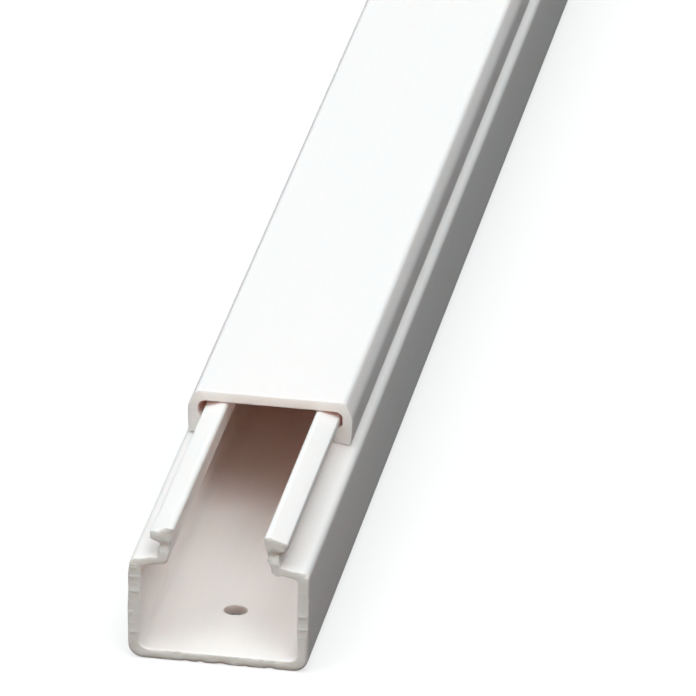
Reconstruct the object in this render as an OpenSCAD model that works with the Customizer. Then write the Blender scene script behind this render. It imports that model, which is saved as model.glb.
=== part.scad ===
// Cable trunking: a base channel with two snap rails, and a lid that grips them.
// X runs across, Y along the length, Z up. The origin is the middle of the base's underside.

/* [Length] */
// Length of the base and of the lid
trunking_length = 2000; // [400:50:3000]
// How far the lid is slid back from the front end of the base
lid_setback = 51; // [0:1:300]

/* [Base channel] */
// Outer width of the base
base_width = 30; // [26:0.5:50]
// Height of the shoulder at the foot of its rail
shoulder_height = 18.6; // [12:0.2:40]
// Thickness of the side walls
wall_thickness = 1.9; // [1.2:0.1:2.4]
// Thickness of the floor
floor_thickness = 1.8; // [1.2:0.1:3]
// Thickness of the shoulders
shoulder_thickness = 1.5; // [1:0.1:2.2]
// Outward fall of the shoulders, in degrees; the rails lean inward by as much
shoulder_fall = 9; // [0:1:12]
// Radius of the lower outer edges
heel_radius = 2.2; // [0.4:0.1:3]
// Radius of the corners inside, at the floor
floor_fillet = 1.5; // [0.4:0.1:3]
// Radius of the outer edges of the shoulders
shoulder_radius = 1.2; // [0.3:0.1:1.6]
// Radius of the corners inside, under the shoulders
eave_fillet = 0.8; // [0.2:0.1:1.5]

/* [Snap rails] */
// Thickness of the upright web
web_thickness = 1.8; // [1.2:0.1:2.4]
// Height of the web from the shoulder to the barb
web_height = 2.3; // [1.8:0.1:4]
// Rise of the barb's underside towards its tip, in degrees
barb_rise = 28; // [10:1:35]
// Height of the blunt tip of the barb
barb_tip_height = 1.2; // [0.6:0.1:2]
// Height of the rail's crest above the shoulder
rail_height = 5.4; // [5:0.1:8]
// Width of the crest, before its edges are rounded
crest_width = 1.2; // [0.8:0.1:1.8]
// Radius of the crest's inner edge
crest_radius = 0.6; // [0.2:0.1:0.8]

/* [Lid] */
// Ledge of the base that the lid leaves bare on each side
ledge_width = 0.9; // [0.4:0.1:2]
// Thickness of the top
lid_thickness = 1.8; // [1:0.1:2.6]
// Thickness of the lips
lip_thickness = 1.75; // [1.2:0.05:2.2]
// How far the hooks stand in from the lips
hook_depth = 1.4; // [1:0.05:1.8]
// Rise of the hook's upper face towards its lip, in degrees
hook_rise = 40; // [20:1:50]
// How far the leaning upper edge reaches in from the side
lean_width = 1.35; // [0.6:0.05:2]
// How far the leaning upper edge reaches down from the top
lean_height = 2.65; // [1.4:0.05:4]
// Radius between the leaning edge and the side
side_radius = 6; // [1:0.5:8]
// Radius between the top and the leaning edge
brow_radius = 0.6; // [0.2:0.1:1]
// Radius of the corners inside, under the top
lid_fillet = 1.2; // [0.3:0.1:1.5]

/* [Fit] */
// Room at each side between the lid and the rails
side_play = 0.6; // [0.4:0.05:0.9]
// Where the lid sits within its side play, less than nothing is to the left
lid_offset = -0.4; // [-0.4:0.05:0.4]
// Gap between the lips and the shoulders
seat_clearance = 0.15; // [0.1:0.05:0.4]
// Gap between the hooks and the barbs
hook_clearance = 0.5; // [0.45:0.05:0.8]
// Gap between the crests of the rails and the top of the lid
crest_clearance = 0.2; // [0.15:0.05:0.6]

/* [Screw holes] */
// Diameter of the screw holes in the floor
hole_diameter = 4; // [2.5:0.1:6]
// Distance of the first hole from the front end
hole_first = 17.5; // [8:0.5:125]
// Spacing of the screw holes along the floor
hole_pitch = 250; // [80:10:500]

/* [Hidden] */
$fn = 64;
plastic = [0.96, 0.96, 0.95];
// Radius of the small edges that the extrusion die leaves
die_radius = 0.25;
// How far a cutter stands out of what it cuts
cutter_margin = 1;
// How far a rounding's piece reaches past its corner, and past the tangents at its ends
corner_margin = 0.2;
tangent_margin = 0.0004;

fall = tan(shoulder_fall);
base_half = base_width / 2;
wall_inner = base_half - wall_thickness;

lid_half = base_half - ledge_width;
lip_inner = lid_half - lip_thickness;
hook_tip = lip_inner - hook_depth;

// The barb stops short of the lip, and the web short of the hook, by the same play.
barb_x = lip_inner - side_play;
web_outer = hook_tip - side_play;
web_inner = web_outer - web_thickness;

// The rail's faces lean inward with height above the shoulder.
function shoulder_z(x) = shoulder_height - (x - web_outer) * fall;
function leaned(x, z) = x - (z - shoulder_height) * fall;

barb_foot_z = shoulder_height + web_height;
barb_foot_x = leaned(web_outer, barb_foot_z);
barb_low_z = barb_foot_z + (barb_x - barb_foot_x) * tan(barb_rise);
barb_top_z = barb_low_z + barb_tip_height;
crest_z = shoulder_height + rail_height;
crest_inner = leaned(web_inner, crest_z);
eave_z = shoulder_z(web_inner) - shoulder_thickness;

lid_under = crest_z + crest_clearance;
lid_top = lid_under + lid_thickness;
hook_gate_z = barb_low_z - hook_clearance;
function hook_z(x) = hook_gate_z + (x - barb_x) * tan(hook_rise);
function lip_z(x) = shoulder_z(x) + seat_clearance;

hole_count = floor((trunking_length - 2 * hole_first) / hole_pitch) + 1;

// Right half of each section, anticlockwise: across, up, and the corner's radius.
base_corners = [
    [0, 0, 0],
    [base_half, 0, heel_radius],
    [base_half, shoulder_z(base_half), shoulder_radius],
    [web_outer, shoulder_height, die_radius],
    [barb_foot_x, barb_foot_z, die_radius],
    [barb_x, barb_low_z, die_radius],
    [barb_x, barb_top_z, die_radius],
    [crest_inner + crest_width, crest_z, die_radius],
    [crest_inner, crest_z, crest_radius],
    [leaned(web_inner, eave_z), eave_z, die_radius],
    [wall_inner, shoulder_z(wall_inner) - shoulder_thickness, eave_fillet],
    [wall_inner, floor_thickness, floor_fillet],
    [0, floor_thickness, 0],
];

lid_corners = [
    [0, lid_under, 0],
    [lip_inner, lid_under, lid_fillet],
    [lip_inner, hook_z(lip_inner), die_radius],
    [hook_tip, hook_z(hook_tip), die_radius],
    [hook_tip, lip_z(hook_tip), die_radius],
    [lid_half, lip_z(lid_half), die_radius],
    [lid_half, lid_top - lean_height, side_radius],
    [lid_half - lean_width, lid_top, brow_radius],
    [0, lid_top, 0],
];

function flat(corner) = [corner[0], corner[1]];
function unit(v) = v / norm(v);
function turn(a, p, b) = cross(p - a, b - p);

// What a rounding of radius r takes from, or adds to, the corner p between a and b.
// Its apex lies past the corner and its arc a hair past both edges, so that it never only touches them.
module corner_piece(a, p, b, r) {
    u = unit(a - p);
    v = unit(b - p);
    bisector = unit(u + v);
    half_angle = acos(u * v) / 2;
    reach = r / tan(half_angle);
    difference() {
        polygon([p - bisector * corner_margin, p + u * reach, p + v * reach]);
        translate(p + bisector * r / sin(half_angle)) circle(r + tangent_margin);
    }
}

// The roundings of all outer corners (side 1) or of all inner ones (side -1)
module corner_pieces(corners, side) {
    count = len(corners);
    for (i = [0 : count - 1]) {
        a = flat(corners[(i + count - 1) % count]);
        p = flat(corners[i]);
        b = flat(corners[(i + 1) % count]);
        if (corners[i][2] > 0 && side * turn(a, p, b) > 0) corner_piece(a, p, b, corners[i][2]);
    }
}

module half_section(corners) {
    difference() {
        polygon([for (corner = corners) flat(corner)]);
        corner_pieces(corners, 1);
    }
    corner_pieces(corners, -1);
}

// A bar of the mirrored section, lying along Y and centred on the origin
module extrusion(corners) {
    translate([0, trunking_length / 2, 0])
        rotate([90, 0, 0])
            linear_extrude(height = trunking_length) {
                half_section(corners);
                mirror([1, 0]) half_section(corners);
            }
}

module screw_holes() {
    for (i = [0 : hole_count - 1])
        translate([0, hole_first + i * hole_pitch - trunking_length / 2, -cutter_margin])
            cylinder(h = floor_thickness + 2 * cutter_margin, d = hole_diameter);
}

module base_channel() {
    color(plastic)
        difference() {
            extrusion(base_corners);
            screw_holes();
        }
}

module lid() {
    color(plastic)
        translate([lid_offset, lid_setback, 0]) extrusion(lid_corners);
}

base_channel();
lid();
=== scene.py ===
"""White cable trunking: two sawn PVC extrusions, a base with snap rails and a lid slid back on them."""
import math
import bpy
from mathutils import Matrix, Vector, geometry, noise


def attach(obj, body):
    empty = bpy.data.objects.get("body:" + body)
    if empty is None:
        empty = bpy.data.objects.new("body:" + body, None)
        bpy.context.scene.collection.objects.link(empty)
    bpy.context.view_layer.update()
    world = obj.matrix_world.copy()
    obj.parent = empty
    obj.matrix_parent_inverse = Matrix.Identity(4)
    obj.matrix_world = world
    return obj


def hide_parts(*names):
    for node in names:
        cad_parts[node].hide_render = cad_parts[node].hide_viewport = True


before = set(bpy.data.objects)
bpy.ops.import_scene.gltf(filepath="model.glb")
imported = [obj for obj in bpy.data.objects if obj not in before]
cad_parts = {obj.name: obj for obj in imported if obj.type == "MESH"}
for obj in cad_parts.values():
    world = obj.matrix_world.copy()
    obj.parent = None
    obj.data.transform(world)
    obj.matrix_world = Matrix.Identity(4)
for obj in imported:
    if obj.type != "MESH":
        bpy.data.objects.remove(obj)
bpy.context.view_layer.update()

# One millimetre, in metres
MM = 0.001

# Sizes of the two sections, in millimetres: the solids' own, apart from the lid's side and brow radii
LENGTH = 2000.0
BASE_WIDTH = 30.0
SHOULDER_HEIGHT = 18.6
WALL = 1.9
FLOOR = 1.8
SHOULDER = 1.5
SHOULDER_FALL = math.tan(math.radians(9))
HEEL_RADIUS = 2.2
FLOOR_FILLET = 1.5
SHOULDER_RADIUS = 1.2
EAVE_FILLET = 0.8
WEB = 1.8
WEB_HEIGHT = 2.3
BARB_RISE = math.tan(math.radians(28))
BARB_TIP = 1.2
RAIL_HEIGHT = 5.4
CREST_WIDTH = 1.2
CREST_RADIUS = 0.6
LEDGE = 0.9
LID_THICKNESS = 1.8
LIP = 1.75
HOOK_DEPTH = 1.4
HOOK_RISE = math.tan(math.radians(40))
LEAN_WIDTH = 1.35
LEAN_HEIGHT = 2.65
SIDE_RADIUS = 2.8
BROW_RADIUS = 1.0
LID_FILLET = 1.2
SIDE_PLAY = 0.6
SEAT_CLEARANCE = 0.15
HOOK_CLEARANCE = 0.5
CREST_CLEARANCE = 0.2
DIE_RADIUS = 0.25
LID_OFFSET = -0.4
LID_SETBACK = 51.0
HOLE_RADIUS = 2.0
HOLE_FIRST = 17.5
HOLE_PITCH = 250.0
HOLE_COUNT = 8

# Mesh fineness, in millimetres and degrees
OUTLINE_STEP = 0.35
ARC_STEP = 15.0
CAP_STEP = 0.45
CAP_MARGIN = 0.36
ROW_STEP = 50.0
END_ROWS = (0.0, 0.08, 0.2, 0.4, 0.7, 0.95, 1.2, 1.6, 2.4, 4.0, 8.0)
SHARP_ANGLE = 38.0
LEVEL_TOLERANCE = 1e-4
MERGE_TOLERANCE = 1e-5
# The triangulation's mode that keeps only what lies inside the outline
INSIDE_ONLY = 1

# Screw holes: sides of the circle, half length and half width of the floor patch round each, and the rings
# of the burr: spread from the hole's edge, rise
HOLE_SIDES = 48
HOLE_PATCH = 4.0
HOLE_PATCH_HALF = 11.65
HOLE_BURR = ((0.0, 0.02), (0.12, 0.09), (0.3, 0.06), (0.6, 0.0))


def base_corners():
    """Right half of the base section, anticlockwise: across, up, radius."""
    half = BASE_WIDTH / 2
    wall_inner = half - WALL
    lip_inner = half - LEDGE - LIP
    barb_x = lip_inner - SIDE_PLAY
    web_outer = lip_inner - HOOK_DEPTH - SIDE_PLAY
    web_inner = web_outer - WEB

    def shoulder_z(x):
        return SHOULDER_HEIGHT - (x - web_outer) * SHOULDER_FALL

    def leaned(x, z):
        return x - (z - SHOULDER_HEIGHT) * SHOULDER_FALL

    foot_z = SHOULDER_HEIGHT + WEB_HEIGHT
    foot_x = leaned(web_outer, foot_z)
    barb_low = foot_z + (barb_x - foot_x) * BARB_RISE
    crest_z = SHOULDER_HEIGHT + RAIL_HEIGHT
    crest_x = leaned(web_inner, crest_z)
    eave_z = shoulder_z(web_inner) - SHOULDER
    return [
        (0, 0, 0),
        (half, 0, HEEL_RADIUS),
        (half, shoulder_z(half), SHOULDER_RADIUS),
        (web_outer, SHOULDER_HEIGHT, DIE_RADIUS),
        (foot_x, foot_z, DIE_RADIUS),
        (barb_x, barb_low, DIE_RADIUS),
        (barb_x, barb_low + BARB_TIP, DIE_RADIUS),
        (crest_x + CREST_WIDTH, crest_z, DIE_RADIUS),
        (crest_x, crest_z, CREST_RADIUS),
        (leaned(web_inner, eave_z), eave_z, DIE_RADIUS),
        (wall_inner, shoulder_z(wall_inner) - SHOULDER, EAVE_FILLET),
        (wall_inner, FLOOR, FLOOR_FILLET),
        (0, FLOOR, 0),
    ]


def lid_corners():
    """Right half of the lid section, anticlockwise: across, up, radius."""
    half = BASE_WIDTH / 2 - LEDGE
    lip_inner = half - LIP
    hook_tip = lip_inner - HOOK_DEPTH
    barb_x = lip_inner - SIDE_PLAY
    web_outer = hook_tip - SIDE_PLAY
    foot_z = SHOULDER_HEIGHT + WEB_HEIGHT
    foot_x = web_outer - WEB_HEIGHT * SHOULDER_FALL
    gate_z = foot_z + (barb_x - foot_x) * BARB_RISE - HOOK_CLEARANCE
    under = SHOULDER_HEIGHT + RAIL_HEIGHT + CREST_CLEARANCE
    top = under + LID_THICKNESS

    def lip_z(x):
        return SHOULDER_HEIGHT - (x - web_outer) * SHOULDER_FALL + SEAT_CLEARANCE

    def hook_z(x):
        return gate_z + (x - barb_x) * HOOK_RISE

    return [
        (0, under, 0),
        (lip_inner, under, LID_FILLET),
        (lip_inner, hook_z(lip_inner), DIE_RADIUS),
        (hook_tip, hook_z(hook_tip), DIE_RADIUS),
        (hook_tip, lip_z(hook_tip), DIE_RADIUS),
        (half, lip_z(half), DIE_RADIUS),
        (half, top - LEAN_HEIGHT, SIDE_RADIUS),
        (half - LEAN_WIDTH, top, BROW_RADIUS),
        (0, top, 0),
    ]


def rounded_corner(a, p, b, radius):
    """Points of the arc that rounds the corner p between a and b."""
    a, p, b = Vector(a[:2]), Vector(p[:2]), Vector(b[:2])
    u, v = (a - p).normalized(), (b - p).normalized()
    half_angle = u.angle(v) / 2
    reach = radius / math.tan(half_angle)
    centre = p + (u + v).normalized() * radius / math.sin(half_angle)
    start, end = p + u * reach - centre, p + v * reach - centre
    sweep = -start.angle_signed(end)
    count = max(2, math.ceil(abs(math.degrees(sweep)) / ARC_STEP))
    turned = [Matrix.Rotation(sweep * i / count, 2) @ start for i in range(count + 1)]
    return [centre + t for t in turned]


def half_outline(corners):
    """The half section's path from its first corner to its last, with arcs, in short steps."""
    path = [Vector(corners[0][:2])]
    for a, p, b in zip(corners, corners[1:], corners[2:]):
        path += rounded_corner(a, p, b, p[2])
    path.append(Vector(corners[-1][:2]))
    fine = [path[0]]
    for start, end in zip(path, path[1:]):
        count = max(1, math.ceil((end - start).length / OUTLINE_STEP))
        fine += [start.lerp(end, i / count) for i in range(1, count + 1)]
    return fine


def section_loop(corners):
    """Closed loop of the whole section, anticlockwise seen from the front."""
    right = half_outline(corners)
    left = [Vector((-p.x, p.y)) for p in reversed(right[1:-1])]
    return right + left


def ramp(value, low, high):
    """0 below low, 1 above high, and a smooth rise between them."""
    t = min(1.0, max(0.0, (value - low) / (high - low)))
    return t * t * (3 - 2 * t)


def hump(value, centre, reach):
    """1 at the centre, falling smoothly to 0 at the reach."""
    return 1.0 - ramp(abs(value - centre), 0.0, reach)


# How the two sections warp as they cool, in millimetres: the base's walls swell outwards, its rails lean,
# and the lid's outer sides toe in
SWELL = 0.15
SWELL_MIDDLE = 9.0
SWELL_REACH = 9.0
SWELL_FROM = 13.4
SWELL_FULL = 14.2
RAIL_FOOT = 17.5
RAIL_REACH = 6.5
RIGHT_LEAN = -0.45
LEFT_LEAN = 0.15
TOE_TOP = 22.5
TOE_REACH = 4.6
TOE_IN = 0.25
TOE_FROM = 13.0
TOE_FULL = 13.6


def warped_base(p):
    """A point of the base section, moved as far as its wall swells or its rail leans at that height."""
    outer = ramp(abs(p.x), SWELL_FROM, SWELL_FULL)
    swell = SWELL * outer * max(0.0, 1.0 - ((p.y - SWELL_MIDDLE) / SWELL_REACH) ** 2)
    share = max(0.0, (p.y - RAIL_FOOT) / RAIL_REACH)
    lean = share * (RIGHT_LEAN if p.x > 0 else LEFT_LEAN)
    return Vector((p.x + math.copysign(swell, p.x) + lean, p.y))


def warped_lid(p):
    """A point of the lid section, moved as far as its outer side toes in at that height."""
    outer = ramp(abs(p.x), TOE_FROM, TOE_FULL)
    share = max(0.0, (TOE_TOP - p.y) / TOE_REACH)
    return Vector((p.x - math.copysign(TOE_IN * outer * share ** 2, p.x), p.y))


# Places of the finishes among each piece's materials
SKIN, SAWN, INNER, PUNCHED = 0, 1, 2, 3


class Shell:
    """Points, faces and finishes of one extrusion, gathered in millimetres before its mesh is made."""

    def __init__(self, loop, rows):
        self.loop = loop
        self.rows = rows
        self.points = [Vector((p.x, y, p.y)) for y in rows for p in loop]
        self.faces = []
        self.finishes = []

    def index(self, row, column):
        """Number of the point at one row and column of the walls."""
        return row * len(self.loop) + column % len(self.loop)

    def add_face(self, corners, finish):
        """One more face and its finish."""
        self.faces.append(corners)
        self.finishes.append(finish)

    def add_point(self, x, y, z):
        """One more point, and its number."""
        self.points.append(Vector((x, y, z)))
        return len(self.points) - 1

    def add_walls(self, finish_at, left_out):
        """Faces along the length, apart from the row and column pairs that left_out names."""
        for row in range(len(self.rows) - 1):
            for column in range(len(self.loop)):
                if left_out(row, column):
                    continue
                near, far = self.index(row, column), self.index(row + 1, column)
                near_next, far_next = self.index(row, column + 1), self.index(row + 1, column + 1)
                self.add_face((near, far, far_next, near_next), finish_at(column))

    def add_cap(self, row, finish, inner_points):
        """Closes the section at one end row, with points inside it for the saw's relief."""
        loop = self.loop
        flat = loop + inner_points
        rim = [list(range(len(loop)))]
        done = geometry.delaunay_2d_cdt(flat, [], rim, INSIDE_ONLY, MERGE_TOLERANCE)
        spots, triangles, sources = done[0], done[2], done[3]
        places = []
        for spot, merged in zip(spots, sources):
            source = merged[0]
            if source < len(loop):
                places.append(self.index(row, source))
            else:
                places.append(self.add_point(spot.x, self.rows[row], spot.y))
        for triangle in triangles:
            corners = [places[i] for i in triangle]
            self.add_face(corners if row == 0 else corners[::-1], finish)


def inside_section(loop, step, margin):
    """Points on a staggered grid inside the section, clear of its outline by the margin."""
    low_x, high_x = min(p.x for p in loop), max(p.x for p in loop)
    low_z, high_z = min(p.y for p in loop), max(p.y for p in loop)
    sides = list(zip(loop, loop[1:] + loop[:1]))
    found = []
    for j in range(int((high_z - low_z) / step) + 1):
        z = low_z + (j + 0.5) * step
        crossed = [(a, b) for a, b in sides if (a.y > z) != (b.y > z)]
        cuts = sorted(a.x + (b.x - a.x) * (z - a.y) / (b.y - a.y) for a, b in crossed)
        close = [(a, b) for a, b in sides if min(a.y, b.y) < z + margin and max(a.y, b.y) > z - margin]
        for i in range(int((high_x - low_x) / step) + 1):
            x = low_x + (i + 0.5 * (j % 2)) * step
            if sum(c < x for c in cuts) % 2 == 0:
                continue
            spot = Vector((x, z))
            if min(distance_to_side(spot, a, b) for a, b in close or sides) > margin:
                found.append(spot)
    return found


def distance_to_side(spot, a, b):
    """Distance of a spot from the straight side between two points."""
    share = geometry.intersect_point_line(spot, a, b)[1]
    share = min(1.0, max(0.0, share))
    return (spot - a.lerp(b, share)).length


def length_rows(end_rows, hole_places):
    """Rows along the length: close together at both ends, and one on each side of every hole."""
    rows = set(end_rows) | {LENGTH - r for r in end_rows}
    for place in hole_places:
        rows |= {place - HOLE_PATCH, place + HOLE_PATCH}
    filled = sorted(rows)
    for start, end in zip(sorted(rows), sorted(rows)[1:]):
        parts = math.ceil((end - start) / ROW_STEP)
        filled += [start + (end - start) * i / parts for i in range(1, parts)]
    return sorted(filled)


def add_hole(shell, place, floor_columns, back_columns):
    """One punched screw hole: a raised burr round it on the floor, and a plain edge on the back."""
    row = shell.rows.index(place - HOLE_PATCH)
    turns = [2 * math.pi * i / HOLE_SIDES for i in range(HOLE_SIDES)]
    rims = []
    for columns, rings, upward in ((floor_columns, HOLE_BURR, True), (back_columns, HOLE_BURR[:1], False)):
        border = [shell.index(row, c) for c in columns]
        border += [shell.index(row + 1, c) for c in reversed(columns)]
        flat = [Vector((shell.points[i].x, shell.points[i].y)) for i in border]
        level = shell.points[border[0]].z
        known = list(border)
        circles = []
        for spread, rise in rings:
            radius = HOLE_RADIUS + spread
            circle = []
            for turn in turns:
                x, y = radius * math.cos(turn), place + radius * math.sin(turn)
                circle.append(len(flat))
                flat.append(Vector((x, y)))
                known.append(shell.add_point(x, y, level + (rise if upward else 0.0)))
            circles.append(circle)
        edges = [(c[i], c[(i + 1) % len(c)]) for c in circles for i in range(len(c))]
        rim = [list(range(len(border)))]
        done = geometry.delaunay_2d_cdt(flat, edges, rim, INSIDE_ONLY, MERGE_TOLERANCE)
        spots, triangles, sources = done[0], done[2], done[3]
        places = [known[merged[0]] for merged in sources]
        for triangle in triangles:
            centre = sum((spots[i] for i in triangle), Vector((0, 0))) / 3
            if (centre - Vector((0, place))).length < HOLE_RADIUS:
                continue
            corners = [places[i] for i in triangle]
            a, b, c = (shell.points[i] for i in corners)
            if ((b - a).cross(c - a).z > 0) != upward:
                corners.reverse()
            shell.add_face(corners, INNER if upward else SKIN)
        rims.append([known[i] for i in circles[0]])
    upper, lower = rims
    for i in range(HOLE_SIDES):
        j = (i + 1) % HOLE_SIDES
        shell.add_face((upper[i], upper[j], lower[j], lower[i]), PUNCHED)


def make_mesh(name, shell, move, materials):
    """Blender object of a shell, in metres, with crisp cut edges and smooth drawn faces."""
    mesh = bpy.data.meshes.new(name)
    mesh.from_pydata([(p + move) * MM for p in shell.points], [], shell.faces)
    for material in materials:
        mesh.materials.append(material)
    mesh.polygons.foreach_set("material_index", shell.finishes)
    mesh.polygons.foreach_set("use_smooth", [True] * len(mesh.polygons))
    mesh.update()
    mesh.validate()
    mesh.set_sharp_from_angle(angle=math.radians(SHARP_ANGLE))
    piece = bpy.data.objects.new(name, mesh)
    bpy.context.collection.objects.link(piece)
    weighted = piece.modifiers.new("face_weighted_normals", "WEIGHTED_NORMAL")
    weighted.keep_sharp = True
    return piece


def outward(loop, column):
    """Direction out of the section at one point of its loop."""
    before, after = loop[column - 1], loop[(column + 1) % len(loop)]
    along = (after - before).normalized()
    return Vector((along.y, -along.x))


def grain(x, y, z):
    """Smooth seeded unevenness between about -1 and 1."""
    return noise.noise(Vector((x, y, z)))


# Ends of the two lengths, in millimetres: how far a rim is worn round, and how far back that reaches
HAND_SAWN_ROUND = 0.15
SHOP_SAWN_ROUND = 0.06
FLOOR_RIM_ROUND = 0.03
BACK_RIM_ROUND = 0.12
ROUND_REACH = 0.4
MARK_REACH = 0.9
FACE_REACH = 1.5

# Where the floor's and the back's rims are worn more: below this height, and where the rim faces up or down
LOW_RIM_HEIGHT = 3.0
LOW_RIM_FADE = 1.0
FACING_FROM, FACING_FULL = 0.6, 0.9

# Unevenness of the worn rims and of the sawn face: share or depth, and waves per millimetre
RIM_WAVE_SHARE, RIM_WAVES = 0.7, 0.9
RIM_CHIP_SHARE, RIM_CHIPS = 0.4, 2.7
RIM_WAVE_SEED = 20.0
RIM_CHIP_SEED = 5.0
FACE_SETBACK = 0.08
FACE_WAVE, FACE_WAVES_ACROSS, FACE_WAVES_UP = 0.05, 0.3, 0.35
FACE_GRAIN, FACE_GRAINS_ACROSS, FACE_GRAINS_UP = 0.03, 1.3, 1.6
FACE_WAVE_SEED = 4.0
FACE_GRAIN_SEED = 9.0

# Marks on the hand-sawn rim: across, up, reach, push out of the section, set back from the end
SAW_MARKS = (
    (11.5, 22.6, 0.5, 0.18, 0.0),
    (11.4, 21.9, 0.5, -0.20, 0.30),
    (10.6, 21.4, 0.5, 0.16, 0.0),
    (9.7, 20.8, 0.5, -0.15, 0.20),
    (7.6, 22.7, 0.8, 0.22, 0.0),
    (9.0, 20.5, 1.2, 0.0, 0.5),
    (8.2, 19.7, 0.8, 0.42, 0.0),
    (9.7, 17.2, 0.9, 0.33, 0.0),
    (10.7, 18.6, 1.0, 0.11, 0.0),
    (12.8, 18.2, 0.6, 0.11, 0.0),
    (14.5, 17.5, 0.6, -0.25, 0.25),
    (-11.2, 23.2, 0.6, 0.26, 0.0),
    (-10.25, 23.5, 0.6, -0.18, 0.20),
    (-9.1, 23.9, 0.7, 0.14, 0.0),
    (-10.4, 21.3, 0.7, -0.25, 0.0),
    (-10.0, 20.2, 0.7, 0.35, 0.0),
    (-9.2, 20.4, 1.2, 0.0, 0.4),
    (-8.1, 20.9, 1.2, -0.30, 0.0),
    (-8.7, 17.4, 0.8, -0.30, 0.0),
    (-11.5, 18.4, 1.3, 0.10, 0.0),
    (-15.0, 14.8, 2.6, 0.20, 0.0),
    (-15.0, 9.4, 2.4, 0.10, 0.0),
    (-14.2, 0.9, 2.2, -0.28, 0.05),
    (-15.0, 3.6, 3.2, -0.16, 0.0),
    (15.0, 3.4, 5.0, -0.28, 0.0),
    (-7.75, 22.9, 1.5, -0.50, 0.10),
    (-5.2, 0.0, 1.0, -0.16, 0.15),
    (-2.9, 0.0, 0.8, -0.26, 0.20),
    (0.6, 0.0, 1.4, -0.20, 0.15),
    (4.6, 0.0, 0.7, -0.14, 0.10),
    (8.8, 0.0, 1.1, -0.22, 0.20),
    (3.0, 1.0, 0.8, 0.0, 0.16),
    (-6.5, 1.2, 0.9, 0.0, 0.12),
    (7.2, 0.9, 0.7, 0.0, 0.12),
)

# Ridges that single strokes left on the walls: from, to across, height
SAW_RIDGES = (
    (-14.9, -14.0, 16.8),
    (-14.9, -13.5, 16.3),
    (-14.9, -13.4, 14.6),
    (-14.9, -13.2, 12.0),
    (-14.9, -14.3, 8.0),
    (-14.9, -14.1, 6.1),
    (-14.9, -13.6, 4.5),
    (13.2, 14.9, 10.05),
    (13.4, 14.9, 7.7),
)
RIDGE_PROUD = 0.08
RIDGE_HALF = 0.13
RIDGE_STEP = 0.3

# Nick of a false start across the left shoulder: how far back and deep, from where to where across, its
# middle and half width, and the least height and upward facing of what it cuts
NICK_BACK = 0.95
NICK_DEPTH = 0.12
NICK_LEFT, NICK_RIGHT = -14.2, -10.4
NICK_MIDDLE, NICK_HALF = -11.4, 2.8
NICK_FLOOR = 17.4
NICK_FACING = 0.8


def ridge_points():
    """Points along the crest and both feet of every saw ridge."""
    found = []
    for start, end, height in SAW_RIDGES:
        count = int((end - start) / RIDGE_STEP)
        for level in (height - RIDGE_HALF, height, height + RIDGE_HALF):
            found += [Vector((start + RIDGE_STEP * (i + 0.5), level)) for i in range(count)]
    return found


def on_ridge(x, z):
    """How much of a saw ridge's height there is at one place of the cut face."""
    shares = [hump(z, height, RIDGE_HALF) for start, end, height in SAW_RIDGES if start <= x <= end]
    return max(shares, default=0.0)


def sawn_points(loop):
    """Points inside the hand-sawn face, gathered closer along the saw's ridges."""
    ridges = ridge_points()
    spread = inside_section(loop, CAP_STEP, CAP_MARGIN)
    return ridges + [p for p in spread if min((p - r).length for r in ridges) > RIDGE_STEP]


def marks_at(spot):
    """Push and set back of every saw mark, and the share of it at one spot of the section."""
    return [(push, back, hump((spot - Vector((x, z))).length, 0.0, reach))
            for x, z, reach, push, back in SAW_MARKS]


def sawn_setback(x, z):
    """How far back the hand-sawn face lies at one place of the section."""
    wave = FACE_WAVE * grain(x * FACE_WAVES_ACROSS, FACE_WAVE_SEED, z * FACE_WAVES_UP)
    rough = FACE_GRAIN * grain(x * FACE_GRAINS_ACROSS, FACE_GRAIN_SEED, z * FACE_GRAINS_UP)
    marks = sum(back * share for push, back, share in marks_at(Vector((x, z))))
    return FACE_SETBACK + wave + rough + marks - RIDGE_PROUD * on_ridge(x, z)


def mark_push(p):
    """How far the saw's marks move the rim out of the section at one point of it."""
    return sum(push * share for push, back, share in marks_at(p))


def rim_round(p, out, depth):
    """How far a rim is worn in at one point of it: unevenly, and more along the floor and the back."""
    low = ramp(LOW_RIM_HEIGHT - p.y, 0.0, LOW_RIM_FADE)
    soft = 1.0 + low * ramp(out.y, FACING_FROM, FACING_FULL) * FLOOR_RIM_ROUND / HAND_SAWN_ROUND
    soft += low * ramp(-out.y, FACING_FROM, FACING_FULL) * BACK_RIM_ROUND / HAND_SAWN_ROUND
    uneven = 1.0 + RIM_WAVE_SHARE * grain(p.x * RIM_WAVES, depth * RIM_WAVE_SEED, p.y * RIM_WAVES)
    uneven += RIM_CHIP_SHARE * grain(p.x * RIM_CHIPS, RIM_CHIP_SEED, p.y * RIM_CHIPS)
    return depth * soft * uneven


def wear_end(shell, far, depth, marked):
    """Rounds the rim of one end, and on the hand-sawn one moves it as the saw's marks have it."""
    loop = shell.loop
    for row, y in enumerate(shell.rows):
        back = LENGTH - y if far else y
        if back >= MARK_REACH:
            continue
        round_share = max(0.0, 1 - back / ROUND_REACH) ** 3
        mark_share = (1 - back / MARK_REACH) ** 2
        for column, p in enumerate(loop):
            out = outward(loop, column)
            push = -round_share * rim_round(p, out, depth)
            if marked:
                push += mark_share * mark_push(p)
            point = shell.points[shell.index(row, column)]
            point.x += out.x * push
            point.z += out.y * push


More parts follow.
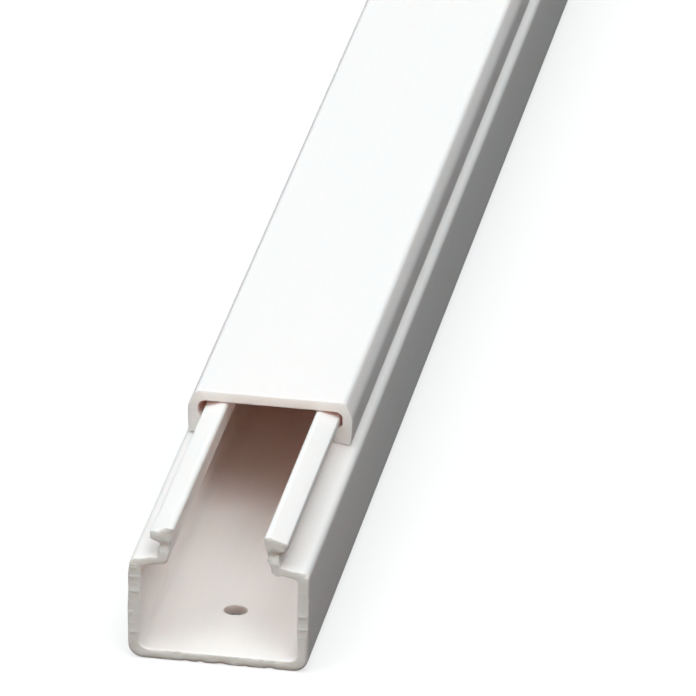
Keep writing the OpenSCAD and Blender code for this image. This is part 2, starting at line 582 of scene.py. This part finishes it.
def wear_sawn_face(shell):
    """Sets the hand-sawn face back unevenly, and cuts the nick across the left shoulder."""
    for point in shell.points:
        if point.y < FACE_REACH:
            point.y += sawn_setback(point.x, point.z) * (1 - point.y / FACE_REACH)
    nick_row = shell.rows.index(NICK_BACK)
    for column, p in enumerate(shell.loop):
        on_shoulder = NICK_LEFT < p.x < NICK_RIGHT and p.y > NICK_FLOOR
        if on_shoulder and outward(shell.loop, column).y > NICK_FACING:
            cut = NICK_DEPTH * hump(p.x, NICK_MIDDLE, NICK_HALF)
            shell.points[shell.index(nick_row, column)].z -= cut


def node(tree, kind, inputs=None, **settings):
    """A new node, with values or links for its inputs and its own settings."""
    made = tree.nodes.new(kind)
    for key, value in settings.items():
        setattr(made, key, value)
    for key, value in (inputs or {}).items():
        if isinstance(value, bpy.types.NodeSocket):
            tree.links.new(value, made.inputs[key])
        else:
            made.inputs[key].default_value = value
    return made


def new_group(name, inputs, outputs):
    """An empty shader node group with its number sockets, and its two end nodes."""
    tree = bpy.data.node_groups.new(name, "ShaderNodeTree")
    for label, value in inputs.items():
        socket = tree.interface.new_socket(label, in_out="INPUT", socket_type="NodeSocketFloat")
        socket.default_value = value
    for label in outputs:
        tree.interface.new_socket(label, in_out="OUTPUT", socket_type="NodeSocketFloat")
    return tree, tree.nodes.new("NodeGroupInput"), tree.nodes.new("NodeGroupOutput")


def stretched_noise(tree, across, along, up, detail, roughness=0.55):
    """Noise over the object, in features per metre across, along and up it."""
    place = node(tree, "ShaderNodeTexCoord").outputs["Object"]
    scale = node(tree, "ShaderNodeCombineXYZ", {"X": across, "Y": along, "Z": up}).outputs[0]
    spot = node(tree, "ShaderNodeVectorMath", {0: place, 1: scale}, operation="MULTIPLY").outputs[0]
    values = {"Vector": spot, "Scale": 1.0, "Detail": detail, "Roughness": roughness}
    return node(tree, "ShaderNodeTexNoise", values).outputs["Fac"]


def ranged(tree, value, low, high, to_low=0.0, to_high=1.0):
    """The value, taken from one range to another and held within it."""
    limits = {"Value": value, "From Min": low, "From Max": high, "To Min": to_low, "To Max": to_high}
    return node(tree, "ShaderNodeMapRange", limits).outputs["Result"]


def arithmetic(tree, operation, *values):
    """Result of one operation on numbers or sockets."""
    return node(tree, "ShaderNodeMath", dict(enumerate(values)), operation=operation).outputs[0]


# Die lines: streaks and slow waves, in features per metre, and the part of the noise that the streaks show
STREAKS_ALONG = 3.0
WAVES_ACROSS, WAVES_ALONG = 60.0, 14.0
STREAK_RANGE = (0.3, 0.7)

# Dust: smudges and specks per metre, and the part of each noise that shows
SMUDGES_ACROSS, SMUDGES_ALONG = 55.0, 18.0
SMUDGE_RANGE = (0.52, 0.75)
SPECKS = 900.0
SPECK_RANGE = (0.71, 0.78)

# Saw strokes: long ones across the cut and torn grain, per metre, and the part of the strokes that whitens
STROKES_ACROSS = 60.0
TEARS_ACROSS, TEARS_UP = 1400.0, 2200.0
WHITENED_RANGE = (0.56, 0.68)


def make_die_lines():
    """Fine streaks that the extrusion die draws along the length, over slow waves of the cooling bath."""
    inputs = {"Lines per Metre": 1500.0, "Wave Share": 0.4}
    tree, entry, leave = new_group("die_lines", inputs, ("Streak", "Height"))
    lines = entry.outputs["Lines per Metre"]
    fine = stretched_noise(tree, lines, STREAKS_ALONG, lines, detail=3.0)
    wave = stretched_noise(tree, WAVES_ACROSS, WAVES_ALONG, WAVES_ACROSS, detail=1.0)
    lifted = arithmetic(tree, "MULTIPLY", wave, entry.outputs["Wave Share"])
    tree.links.new(ranged(tree, fine, *STREAK_RANGE), leave.inputs["Streak"])
    tree.links.new(arithmetic(tree, "ADD", fine, lifted), leave.inputs["Height"])
    return tree


def make_shelf_dust():
    """Faint smudges and specks from handling and storage."""
    inputs = {"Smudge Amount": 0.3, "Speck Amount": 0.5}
    tree, entry, leave = new_group("shelf_dust", inputs, ("Mask",))
    blur = stretched_noise(tree, SMUDGES_ACROSS, SMUDGES_ALONG, SMUDGES_ACROSS, detail=4.0, roughness=0.6)
    dots = stretched_noise(tree, SPECKS, SPECKS, SPECKS, detail=2.0)
    smudge = ranged(tree, blur, *SMUDGE_RANGE)
    speck = ranged(tree, dots, *SPECK_RANGE)
    smudged = arithmetic(tree, "MULTIPLY", smudge, entry.outputs["Smudge Amount"])
    specked = arithmetic(tree, "MULTIPLY", speck, entry.outputs["Speck Amount"])
    tree.links.new(arithmetic(tree, "MAXIMUM", smudged, specked), leave.inputs["Mask"])
    return tree


def make_saw_strokes():
    """Level scratches, torn grain and whitened lines on a cut face."""
    inputs = {"Strokes per Metre": 900.0, "Torn Grain": 0.5}
    tree, entry, leave = new_group("saw_strokes", inputs, ("Whitening", "Height"))
    strokes = stretched_noise(tree, STROKES_ACROSS, STROKES_ACROSS, entry.outputs["Strokes per Metre"],
                              detail=3.0, roughness=0.6)
    torn = stretched_noise(tree, TEARS_ACROSS, TEARS_ACROSS, TEARS_UP, detail=3.0, roughness=0.65)
    torn_share = arithmetic(tree, "MULTIPLY", torn, entry.outputs["Torn Grain"])
    tree.links.new(ranged(tree, strokes, *WHITENED_RANGE), leave.inputs["Whitening"])
    tree.links.new(arithmetic(tree, "ADD", strokes, torn_share), leave.inputs["Height"])
    return tree


die_lines = make_die_lines()
shelf_dust = make_shelf_dust()
saw_strokes = make_saw_strokes()

# How far light creeps inside white PVC, in millimetres, red farthest
CREEP = (1.15, 1.05, 1.0)
PVC_IOR = 1.53

# Share of the light that passes through the base and every cut face, the lid's outside and its inside,
# and the warm colour of that light
BASE_PASSED = 0.06
LID_PASSED = 0.09
LID_INNER_PASSED = 0.22
PASSED_COLOUR = (1.0, 0.47, 0.34)

# Strength of a surface's mirror light, the dust's colour, and what dust and whitened lines add to roughness
MATT, GLOSSY = 0.05, 0.5
DUST_COLOUR = (0.72, 0.69, 0.65)
DUST_DULLING = 0.25
WHITENED_DULLING = 0.15


def start_material(name, roughness, passed_share, gloss):
    """White PVC in which light creeps a little, and which lets a share of it through."""
    material = bpy.data.materials.new(name)
    material.use_nodes = True
    tree = material.node_tree
    shader = tree.nodes["Principled BSDF"]
    shader.inputs["Roughness"].default_value = roughness
    shader.inputs["IOR"].default_value = PVC_IOR
    shader.inputs["Specular IOR Level"].default_value = gloss
    shader.inputs["Subsurface Weight"].default_value = 1.0
    shader.inputs["Subsurface Radius"].default_value = CREEP
    shader.inputs["Subsurface Scale"].default_value = MM
    passed = node(tree, "ShaderNodeBsdfTranslucent", {"Color": (*PASSED_COLOUR, 1.0)})
    skin = node(tree, "ShaderNodeMixShader", {0: passed_share, 1: shader.outputs[0], 2: passed.outputs[0]})
    tree.links.new(skin.outputs[0], tree.nodes["Material Output"].inputs["Surface"])
    return material, tree, shader


def placed(tree, group, values):
    """A node group put into a material, with its values."""
    made = tree.nodes.new("ShaderNodeGroup")
    made.node_tree = group
    for label, value in values.items():
        made.inputs[label].default_value = value
    return made


# Places of a mix node's two colours and of its blended one among its sockets
FIRST_COLOUR, SECOND_COLOUR, BLENDED_COLOUR = 6, 7, 2


def blended(tree, share, first, second):
    """Colour between the two, by the share: the first a colour or a socket, the second a colour."""
    if not isinstance(first, bpy.types.NodeSocket):
        first = (*first, 1.0)
    values = {"Factor": share, FIRST_COLOUR: first, SECOND_COLOUR: (*second, 1.0)}
    return node(tree, "ShaderNodeMix", values, data_type="RGBA").outputs[BLENDED_COLOUR]


def add_relief(tree, shader, depth, height):
    """Gives a shader the relief of a height, as deep as the depth in metres."""
    bump = node(tree, "ShaderNodeBump", {"Strength": 1.0, "Distance": depth, "Height": height})
    tree.links.new(bump.outputs["Normal"], shader.inputs["Normal"])


def drawn_pvc(name, passed_share, gloss, colour, streak_colour, smooth, rough, lines, waves, relief,
              smudges, specks):
    """The skin of an extrusion: die lines in its sheen and relief, and a little dust."""
    material, tree, shader = start_material(name, smooth, passed_share, gloss)
    die = placed(tree, die_lines, {"Lines per Metre": lines, "Wave Share": waves})
    dust = placed(tree, shelf_dust, {"Smudge Amount": smudges, "Speck Amount": specks})
    plain = blended(tree, die.outputs["Streak"], colour, streak_colour)
    dusted = blended(tree, dust.outputs["Mask"], plain, DUST_COLOUR)
    tree.links.new(dusted, shader.inputs["Base Color"])
    sheen = ranged(tree, die.outputs["Streak"], 0.0, 1.0, smooth, rough)
    dulled = arithmetic(tree, "MULTIPLY_ADD", dust.outputs["Mask"], DUST_DULLING, sheen)
    tree.links.new(dulled, shader.inputs["Roughness"])
    add_relief(tree, shader, relief, die.outputs["Height"])
    return material


def cut_pvc(name, passed_share, colour, whitened, rough, strokes, torn, relief, smudges, specks):
    """A face that a saw or a punch left: strokes, torn grain, whitened lines and dust caught in them."""
    material, tree, shader = start_material(name, rough, passed_share, MATT)
    saw = placed(tree, saw_strokes, {"Strokes per Metre": strokes, "Torn Grain": torn})
    dust = placed(tree, shelf_dust, {"Smudge Amount": smudges, "Speck Amount": specks})
    lined = blended(tree, saw.outputs["Whitening"], colour, whitened)
    dusted = blended(tree, dust.outputs["Mask"], lined, DUST_COLOUR)
    tree.links.new(dusted, shader.inputs["Base Color"])
    dulled = ranged(tree, saw.outputs["Whitening"], 0.0, 1.0, rough, rough + WHITENED_DULLING)
    tree.links.new(dulled, shader.inputs["Roughness"])
    add_relief(tree, shader, relief, saw.outputs["Height"])
    return material


# What the base's two skins share, and what the lid's two share. The skins' colours are tinted warm, a
# painted warm shade that bounces into the channel's hollows; the cool lamps take it out where light falls
# straight
BASE_DRAWING = {"lines": 1500.0, "waves": 0.5, "relief": 0.000012, "smudges": 0.10, "specks": 0.35}
LID_DRAWING = {"gloss": MATT, "colour": (0.966, 0.904, 0.888), "streak_colour": (0.956, 0.892, 0.876),
               "smooth": 0.48, "rough": 0.58, "lines": 1900.0, "waves": 0.6, "relief": 0.000014,
               "smudges": 0.08, "specks": 0.25}

# The base's outside and inside are one white PVC in two copies: the outer colour darker, painted shade, and
# the inner one lighter, painted light on the walls and floor inside the channel
base_shaded_skin = drawn_pvc("base_pvc_painted_shade", BASE_PASSED, MATT, colour=(0.91, 0.88, 0.86),
                      streak_colour=(0.90, 0.865, 0.845), smooth=0.52, rough=0.62, **BASE_DRAWING)
base_inner = drawn_pvc("base_inner_pvc_painted_light", BASE_PASSED, GLOSSY, colour=(0.935, 0.892, 0.866),
                       streak_colour=(0.925, 0.877, 0.85), smooth=0.34, rough=0.44, **BASE_DRAWING)
lid_skin = drawn_pvc("lid_pvc", LID_PASSED, **LID_DRAWING)
lid_inner = drawn_pvc("lid_inner_pvc", LID_INNER_PASSED, **LID_DRAWING)
base_sawn = cut_pvc("base_sawn_face", BASE_PASSED, colour=(0.88, 0.90, 0.88), whitened=(0.93, 0.945, 0.935),
                    rough=0.62, strokes=850.0, torn=0.6, relief=0.00012, smudges=0.25, specks=0.5)
lid_sawn = cut_pvc("lid_sawn_face", BASE_PASSED, colour=(0.92, 0.92, 0.90), whitened=(0.95, 0.955, 0.94),
                   rough=0.55, strokes=1600.0, torn=0.3, relief=0.00003, smudges=0.10, specks=0.3)
# The hole's wall is darker than the white PVC it is punched from: painted shade inside the hole
punched = cut_pvc("punched_hole_wall_painted_shade", BASE_PASSED, colour=(0.76, 0.73, 0.71), whitened=(0.84, 0.81, 0.79),
                  rough=0.58, strokes=1800.0, torn=0.4, relief=0.00004, smudges=0.3, specks=0.3)


def make_base():
    """The base extrusion with its eight punched holes and two sawn ends."""
    loop = [warped_base(p) for p in section_loop(base_corners())]
    hole_places = [HOLE_FIRST + HOLE_PITCH * i for i in range(HOLE_COUNT)]
    shell = Shell(loop, length_rows(END_ROWS, hole_places))
    floor_columns = [c for c, p in enumerate(loop)
                     if abs(p.y - FLOOR) < LEVEL_TOLERANCE and abs(p.x) < HOLE_PATCH_HALF]
    under = [c for c, p in enumerate(loop) if abs(p.y) < LEVEL_TOLERANCE]
    back_columns = [c for c in under if loop[c].x < 0] + [c for c in under if loop[c].x >= 0]
    crest = max(range(len(loop) // 2), key=lambda c: loop[c].y)
    hole_rows = {shell.rows.index(place - HOLE_PATCH) for place in hole_places}
    floor_pairs = set(floor_columns[:-1])
    back_pairs = set(back_columns[:-1])

    def at_hole(row, column):
        return row in hole_rows and (column in floor_pairs or column in back_pairs)

    # Faces inside the channel take the lighter painted-light copy, the outside the darker painted-shade one
    def skin_at(column):
        return INNER if crest <= column < len(loop) - crest else SKIN

    shell.add_walls(skin_at, at_hole)
    for place in hole_places:
        add_hole(shell, place, floor_columns, back_columns)
    shell.add_cap(0, SAWN, sawn_points(loop))
    shell.add_cap(len(shell.rows) - 1, SAWN, inside_section(loop, CAP_STEP, CAP_MARGIN))
    wear_end(shell, far=False, depth=HAND_SAWN_ROUND, marked=True)
    wear_end(shell, far=True, depth=SHOP_SAWN_ROUND, marked=False)
    wear_sawn_face(shell)
    move = Vector((0, -LENGTH / 2, 0))
    return make_mesh("base_extrusion", shell, move, [base_shaded_skin, base_sawn, base_inner, punched])


def make_lid():
    """The lid extrusion, cut clean at both ends."""
    loop = [warped_lid(p) for p in section_loop(lid_corners())]
    shell = Shell(loop, length_rows(END_ROWS, []))
    foot = min(range(len(loop) // 2), key=lambda c: loop[c].y)

    def skin_at(column):
        return INNER if column < foot or column >= len(loop) - foot else SKIN

    shell.add_walls(skin_at, lambda row, column: False)
    inner = inside_section(loop, CAP_STEP, CAP_MARGIN)
    shell.add_cap(0, SAWN, inner)
    shell.add_cap(len(shell.rows) - 1, SAWN, inner)
    wear_end(shell, far=False, depth=SHOP_SAWN_ROUND, marked=False)
    wear_end(shell, far=True, depth=SHOP_SAWN_ROUND, marked=False)
    move = Vector((LID_OFFSET, LID_SETBACK - LENGTH / 2, 0))
    return make_mesh("lid_extrusion", shell, move, [lid_skin, lid_sawn, lid_inner])


base = make_base()
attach(base, "base")
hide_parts("base_channel")

lid = make_lid()
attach(lid, "lid")
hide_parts("lid")


def seen_directly(tree):
    """1 for rays from the camera, a mirror or glass, 0 for light scattered from the floor and the sky."""
    path = node(tree, "ShaderNodeLightPath")
    mirrored = arithmetic(tree, "MAXIMUM", path.outputs["Is Camera Ray"], path.outputs["Is Glossy Ray"])
    seen = arithmetic(tree, "MAXIMUM", mirrored, path.outputs["Is Transmission Ray"])
    unscattered = arithmetic(tree, "SUBTRACT", 1.0, path.outputs["Is Diffuse Ray"])
    return arithmetic(tree, "MULTIPLY", seen, unscattered)


# The pale floor: its reach and level in metres, its colour as seen and as it throws light back, how bright
# it glows, and the share of it that takes shadows in place of glowing
GROUND_REACH = 30.0
GROUND_LEVEL = -0.0001
GROUND_SEEN = (0.95, 0.95, 0.95, 1.0)
GROUND_BOUNCE = (0.02, 0.02, 0.02, 1.0)
GROUND_GLOW = 1.04
SHADOW_SHARE = 0.35


def make_floor():
    """A wide pale floor under the base, bright to the eye and dim in what it throws back."""
    mesh = bpy.data.meshes.new("floor")
    signs = ((-1, -1), (1, -1), (1, 1), (-1, 1))
    corners = [(x * GROUND_REACH, y * GROUND_REACH, GROUND_LEVEL) for x, y in signs]
    mesh.from_pydata(corners, [], [(0, 1, 2, 3)])
    floor = bpy.data.objects.new("floor", mesh)
    bpy.context.collection.objects.link(floor)
    material = bpy.data.materials.new("floor_paper")
    material.use_nodes = True
    tree = material.node_tree
    tree.nodes.remove(tree.nodes["Principled BSDF"])
    dim = node(tree, "ShaderNodeBsdfDiffuse", {"Color": GROUND_BOUNCE})
    bright = node(tree, "ShaderNodeBsdfDiffuse", {"Color": GROUND_SEEN})
    glow = node(tree, "ShaderNodeEmission", {"Color": (1, 1, 1, 1), "Strength": GROUND_GLOW})
    paper = node(tree, "ShaderNodeMixShader", {0: SHADOW_SHARE, 1: glow.outputs[0], 2: bright.outputs[0]})
    seen = seen_directly(tree)
    mixed = node(tree, "ShaderNodeMixShader", {0: seen, 1: dim.outputs[0], 2: paper.outputs[0]})
    tree.links.new(mixed.outputs[0], tree.nodes["Material Output"].inputs["Surface"])
    mesh.materials.append(material)


# Cool lamps that take out the warm tint painted into the skins' colours where their light falls straight
COOL_WHITE = (0.95, 1.02, 1.045)
WARM_WHITE = (1.0, 0.55, 0.25)

# Lamps: name, direction of the light, spread in degrees, colour, energy
LAMPS = (
    ("overhead_box", (0.0, -0.342, -0.94), 50.0, COOL_WHITE, 1.1),
    ("right_box", (-0.326, 0.418, -0.848), 40.0, COOL_WHITE, 1.55),
    ("left_box", (0.453, 0.211, -0.866), 40.0, COOL_WHITE, 0.93),
    ("left_fill", (0.522, 0.668, -0.53), 40.0, COOL_WHITE, 0.64),
    ("low_fill", (0.0, 0.94, -0.34), 45.0, WARM_WHITE, 0.45),
)
LAMP_DISTANCE = 2.5
SKY_LIGHT = 0.01
# Enough bounces for light to find its way about between white walls
LIGHT_BOUNCES = 8


def add_lamp(name, towards, spread, colour, energy):
    """A broad distant lamp, soft over the whole length of the trunking."""
    lamp = bpy.data.lights.new(name, "SUN")
    lamp.energy = energy
    lamp.angle = math.radians(spread)
    lamp.color = colour
    holder = bpy.data.objects.new(name, lamp)
    holder.rotation_euler = Vector(towards).to_track_quat("-Z", "Y").to_euler()
    holder.location = Vector(towards) * -LAMP_DISTANCE
    bpy.context.collection.objects.link(holder)


def make_light():
    """Soft boxes overhead and high on both sides, two lower fills from the front, and a dim even sky."""
    for lamp in LAMPS:
        add_lamp(*lamp)
    world = bpy.data.worlds.new("studio")
    world.use_nodes = True
    bpy.context.scene.world = world
    tree = world.node_tree
    sky = tree.nodes["Background"]
    sky.inputs["Color"].default_value = (*COOL_WHITE, 1.0)
    strength = ranged(tree, seen_directly(tree), 0.0, 1.0, SKY_LIGHT, 1.0)
    tree.links.new(strength, sky.inputs["Strength"])


# Camera: sensor and lens in millimetres, then in metres how far it sees, where it stands and where it aims,
# and its roll in degrees
SENSOR_WIDTH = 36.0
LENS = 517.7
SIGHT_REACH = 100.0
CAMERA_STAND = (0.24896, -2.46670, 0.71760)
CAMERA_AIM = (0.00908, -0.92625, 0.026)
CAMERA_ROLL = 1.38


def make_camera():
    """A long lens at the photograph's viewing angle, with its slight roll."""
    sight = bpy.data.cameras.new("camera")
    sight.sensor_width = SENSOR_WIDTH
    sight.lens = LENS
    sight.clip_end = SIGHT_REACH
    camera = bpy.data.objects.new("camera", sight)
    stand = Vector(CAMERA_STAND)
    forward = (Vector(CAMERA_AIM) - stand).normalized()
    level_right = forward.cross(Vector((0, 0, 1))).normalized()
    level_up = level_right.cross(forward)
    roll = math.radians(CAMERA_ROLL)
    right = level_right * math.cos(roll) + level_up * math.sin(roll)
    up = right.cross(forward)
    turned = Matrix((right, up, -forward)).transposed().to_4x4()
    camera.matrix_world = Matrix.Translation(stand) @ turned
    bpy.context.collection.objects.link(camera)
    bpy.context.scene.camera = camera


make_floor()
make_light()
make_camera()
bpy.context.scene.view_settings.view_transform = "Standard"
bpy.context.scene.cycles.diffuse_bounces = LIGHT_BOUNCES
